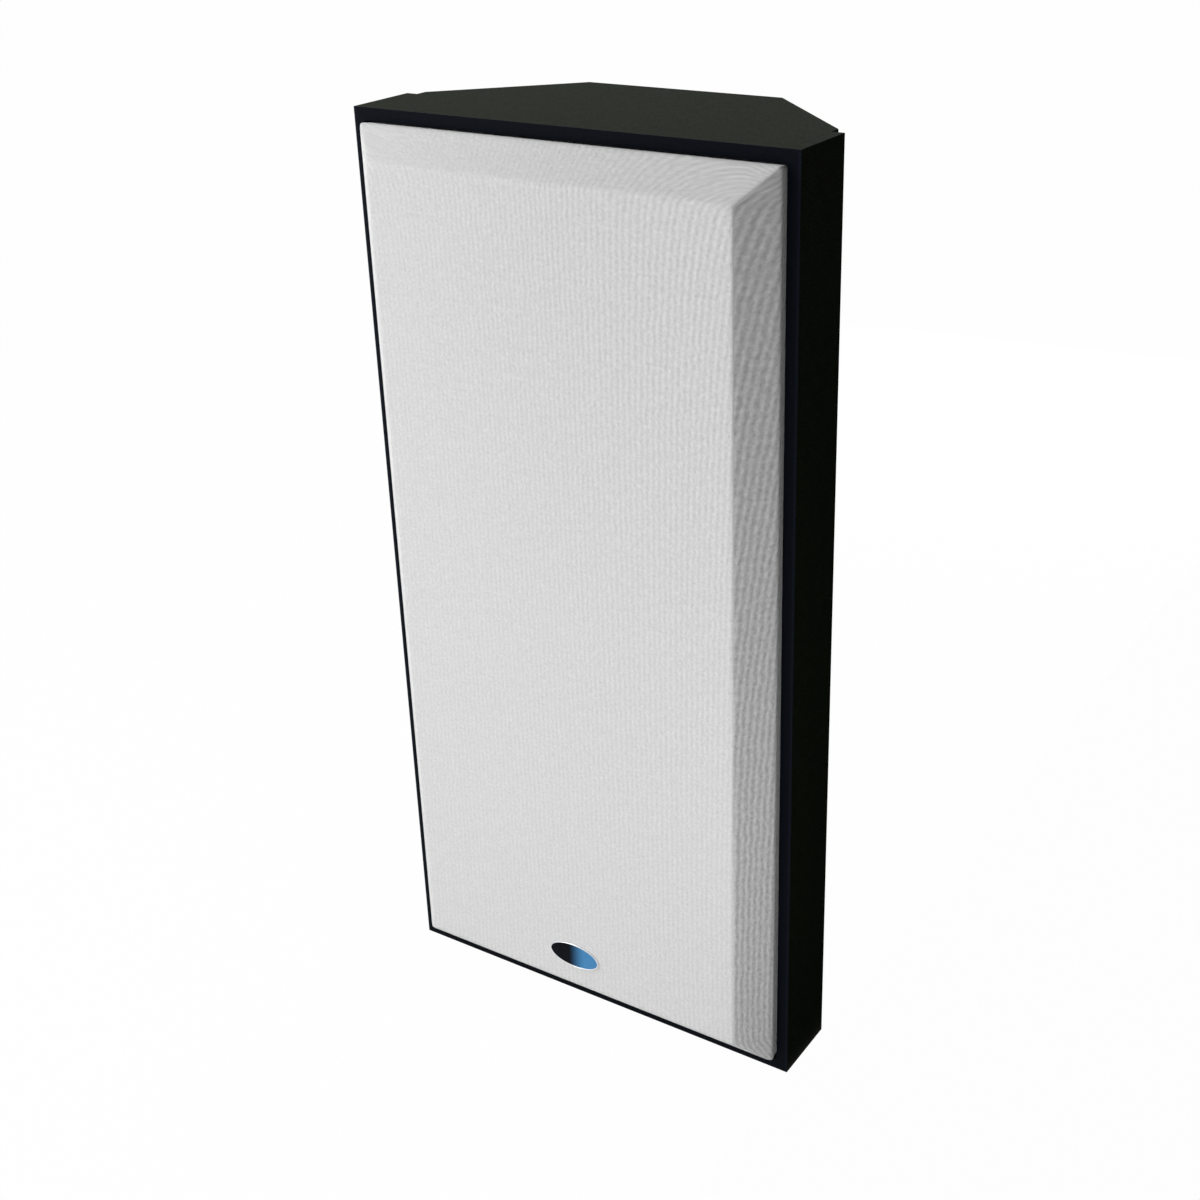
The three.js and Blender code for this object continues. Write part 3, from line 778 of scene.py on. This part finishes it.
class TRAP_OT_badge(Operator):
    """Makes the oval badge: a rimmed plate, its domed inlay and its pins"""

    bl_idname = "trap.badge"
    bl_label = "Badge"

    rim, lip, joint = 1.3 * MM, 0.3 * MM, 0.1 * MM

    def execute(self, context):
        nickel = satin_nickel()
        low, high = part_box("badge_plate")
        half = (high.x - low.x) / 2 - self.rim - self.joint
        enamel = domed_enamel((low.x + high.x) / 2, half)
        finished("badge_rim", *capped(self.rings(self.plate())), ["badge_plate"], nickel, smooth=True)
        finished("badge_dome", *capped(self.rings(self.dome())), ["badge_inlay"], enamel, smooth=True)
        for side in SIDES:
            dressed(f"{side}_badge_pin", nickel)
        return {"FINISHED"}

    def plate(self):
        """The rimmed plate's profile: up its back edge, over the round rim and down to the inlay's seat."""
        low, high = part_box("badge_plate")
        rim, lip, seat = self.rim, self.lip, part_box("badge_inlay")[1].y + GLUE
        return np.array([
            # inset from the plate's edge, depth
            (lip, high.y),
            (0, high.y - lip),
            (0, low.y + 2 * lip),
            (0.3 * lip, low.y + 0.8 * lip),
            (lip, low.y + 0.2 * lip),
            (1.4 * lip, low.y),
            (rim - 0.8 * lip, low.y + 0.2 * lip),
            (rim - 0.2 * lip, low.y + 0.8 * lip),
            (rim, low.y + 2 * lip),
            (rim, seat),
        ])

    def dome(self):
        """The inlay's profile: a quarter of an ellipse from its edge to its crown."""
        steps, edge = 13, 0.25 * MM
        plate_low, plate_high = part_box("badge_plate")
        low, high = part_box("badge_inlay")
        half = (plate_high.z - plate_low.z) / 2 - self.rim - self.joint
        turn = np.linspace(0, pi / 2, steps + 1)[:-1]
        rise = high.y - low.y - edge
        crown = np.stack([half * (1 - np.cos(turn)), high.y - edge - rise * np.sin(turn)], 1)
        return np.vstack([[(0, high.y)], crown]) + (self.rim + self.joint, 0)

    def rings(self, rows):
        """Ellipses about the plate's middle, drawn in by each row's inset and set at its depth."""
        around = 96
        low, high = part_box("badge_plate")
        middle, half = (low + high) / 2, (high - low) / 2
        angle = np.linspace(0, 2 * pi, around, endpoint=False)
        inset = rows[:, :1]
        x = middle.x + (half.x - inset) * np.cos(angle)
        z = middle.z + (half.z - inset) * np.sin(angle)
        return np.stack([x, np.broadcast_to(rows[:, 1:2], x.shape), z], -1)


class TRAP_OT_stage(Operator):
    """Makes the floor, the light and the camera"""

    bl_idname = "trap.stage"
    bl_label = "Stage"

    softboxes = (
        # name, bearing in degrees from straight in front towards the left, distance, height, size, watts
        ("Key softbox", 62, 2.4, 2.8, (1.2, 1.6), 60),
        ("Front fill softbox", 45, 2.2, 0.8, (1.2, 1.6), 14.5),
        ("Low fill softbox", -30, 1.6, 0.1, (0.8, 0.4), 9.6),
        ("Rear softbox", 173, 3.2, 0.7, (1.2, 1.6), 60),
    )

    def execute(self, context):
        scene = context.scene
        scene.view_settings.view_transform = "Standard"
        self.camera(scene)
        self.floor()
        self.flag()
        self.tent(scene)
        for softbox in self.softboxes:
            self.softbox(*softbox)
        return {"FINISHED"}

    def camera(self, scene):
        """The photograph's camera, solved from the cabinet's edges in the 1200 by 1200 frame."""
        image, sensor = 1200, 36
        focal_pixels, centre_x, centre_y = 1718.7, 639.4, 570.06
        azimuth, elevation, roll = radians(33.148), radians(24.904), radians(-1.504)
        place = Vector((1.13668, -1.70912, 1.57797))
        data = bpy.data.cameras.new("Camera")
        data.lens, data.sensor_width = focal_pixels * sensor / image, sensor
        data.shift_x = (image / 2 - centre_x) / image
        data.shift_y = (centre_y - image / 2) / image
        made = bpy.data.objects.new("Camera", data)
        tilt = Matrix.Rotation(pi / 2 - elevation, 4, "X") @ Matrix.Rotation(roll, 4, "Z")
        made.matrix_world = Matrix.Translation(place) @ Matrix.Rotation(azimuth, 4, "Z") @ tilt
        scene.collection.objects.link(made)
        scene.camera = made

    def white_seen(self, tree):
        """One for the rays that show the white background, and nothing for those that light the object."""
        rays = add(tree, "ShaderNodeLightPath").outputs
        direct = {0: rays["Is Camera Ray"], 1: rays["Is Transmission Ray"]}
        seen = add(tree, "ShaderNodeMath", direct, operation="MAXIMUM")
        return add(tree, "ShaderNodeMath", {0: seen, 1: rays["Is Glossy Ray"]}, operation="MAXIMUM")

    def floor(self):
        """A round pale floor. The camera sees it white, with a trace of the object's shadow."""
        radius, drop, around, white_share = 30, 0.2 * MM, 64, 0.985
        angle = np.arange(around) * 2 * pi / around
        ring = np.stack([radius * np.cos(angle), radius * np.sin(angle), np.full(around, -drop)], -1)
        finish = bpy.data.materials.new("Pale floor")
        finish.use_nodes = True
        tree = finish.node_tree
        tree.nodes.clear()
        seen = add(tree, "ShaderNodeMath", {0: self.white_seen(tree), 1: white_share}, operation="MULTIPLY")
        paint = add(tree, "ShaderNodeBsdfDiffuse", {"Color": (*linear("E0E0E0"), 1)})
        white = add(tree, "ShaderNodeEmission", {"Color": (1, 1, 1, 1), "Strength": 1})
        mixed = add(tree, "ShaderNodeMixShader", {0: seen, 1: paint, 2: white})
        add(tree, "ShaderNodeOutputMaterial", {0: mixed})
        self.set_out("Floor", ring, [list(range(around))], finish)

    def flag(self):
        """A black cloth over the floor and up at the right, out of the camera's sight, that keeps light off
        there."""
        near, far, lift, height, front, back = 0.308, 0.85, 0.5 * MM, 3.6, -0.35, 3.2
        profile = [(near, lift), (far, lift), (far, height)]
        points = np.array([(x, y, z) for x, z in profile for y in (front, back)])
        finish = bpy.data.materials.new("Black velvet flag")
        finish.use_nodes = True
        tree = finish.node_tree
        tree.nodes.clear()
        velvet = add(tree, "ShaderNodeBsdfDiffuse", {"Color": (*linear("0C0C0C"), 1)})
        add(tree, "ShaderNodeOutputMaterial", {0: velvet})
        made = self.set_out("Black flag", points, [(0, 2, 3, 1), (2, 4, 5, 3)], finish)
        made.visible_camera = False

    def set_out(self, name, points, faces, finish):
        """Makes a piece of the stage."""
        data = bpy.data.meshes.new(name)
        data.from_pydata(points.tolist(), [], faces)
        data.materials.append(finish)
        made = bpy.data.objects.new(name, data)
        bpy.context.collection.objects.link(made)
        return made

    def tent(self, scene):
        """A sky that lights the object from overhead, and that the camera sees white."""
        overhead_strength = 0.42
        world = bpy.data.worlds.new("Light tent")
        world.use_nodes = True
        scene.world = world
        tree = world.node_tree
        place = add(tree, "ShaderNodeTexCoord").outputs["Generated"]
        up = add(tree, "ShaderNodeSeparateXYZ", {0: place}).outputs["Z"]
        above = add(tree, "ShaderNodeMath", {0: up, 1: 0}, operation="MAXIMUM")
        sky = add(tree, "ShaderNodeMath", {0: above, 1: overhead_strength}, operation="MULTIPLY")
        strength = add(tree, "ShaderNodeMix", {0: self.white_seen(tree), 2: sky, 3: 1.0})
        tree.links.new(strength.outputs[0], tree.nodes["Background"].inputs["Strength"])
        tree.nodes["Background"].inputs["Color"].default_value = (1, 1, 1, 1)

    def softbox(self, name, bearing, distance, height, size, power):
        """A rectangular lamp, turned towards the middle of the trap's front."""
        data = bpy.data.lights.new(name, "AREA")
        data.shape = "RECTANGLE"
        data.size, data.size_y = size
        data.energy = power
        aim, turn = Vector((0, -0.1, 0.6)), radians(bearing)
        place = Vector((-distance * np.sin(turn), aim.y - distance * np.cos(turn), height))
        made = bpy.data.objects.new(name, data)
        made.location = place
        made.rotation_euler = (aim - place).to_track_quat("-Z", "Y").to_euler()
        made.visible_camera = False
        bpy.context.collection.objects.link(made)


STEPS = (
    TRAP_OT_stage,
    TRAP_OT_boards,
    TRAP_OT_woodwork,
    TRAP_OT_membrane,
    TRAP_OT_screws,
    TRAP_OT_tapes,
    TRAP_OT_absorber,
    TRAP_OT_cover,
    TRAP_OT_badge,
)


class TRAP_PT_steps(Panel):
    """Lists the trap's pieces, sizes and colours in the sidebar"""

    bl_label = "Corner bass trap"
    bl_idname = "TRAP_PT_steps"
    bl_space_type = "VIEW_3D"
    bl_region_type = "UI"
    bl_category = "Bass trap"

    def draw(self, context):
        for group in (context.scene.trap_sizes, context.scene.trap_colours):
            for name in group.__annotations__:
                self.layout.prop(group, name)
        for step in STEPS:
            self.layout.operator(step.bl_idname)


CLASSES = (TrapSizes, TrapColours, *STEPS, TRAP_PT_steps)


def register():
    for cls in CLASSES:
        bpy.utils.register_class(cls)
    bpy.types.Scene.trap_sizes = PointerProperty(type=TrapSizes)
    bpy.types.Scene.trap_colours = PointerProperty(type=TrapColours)


def unregister():
    del bpy.types.Scene.trap_colours
    del bpy.types.Scene.trap_sizes
    for cls in reversed(CLASSES):
        bpy.utils.unregister_class(cls)


def main():
    """Makes every piece in order."""
    register()
    for step in STEPS:
        group, name = step.bl_idname.split(".")
        getattr(getattr(bpy.ops, group), name)()


if __name__ == "__main__":
    main()
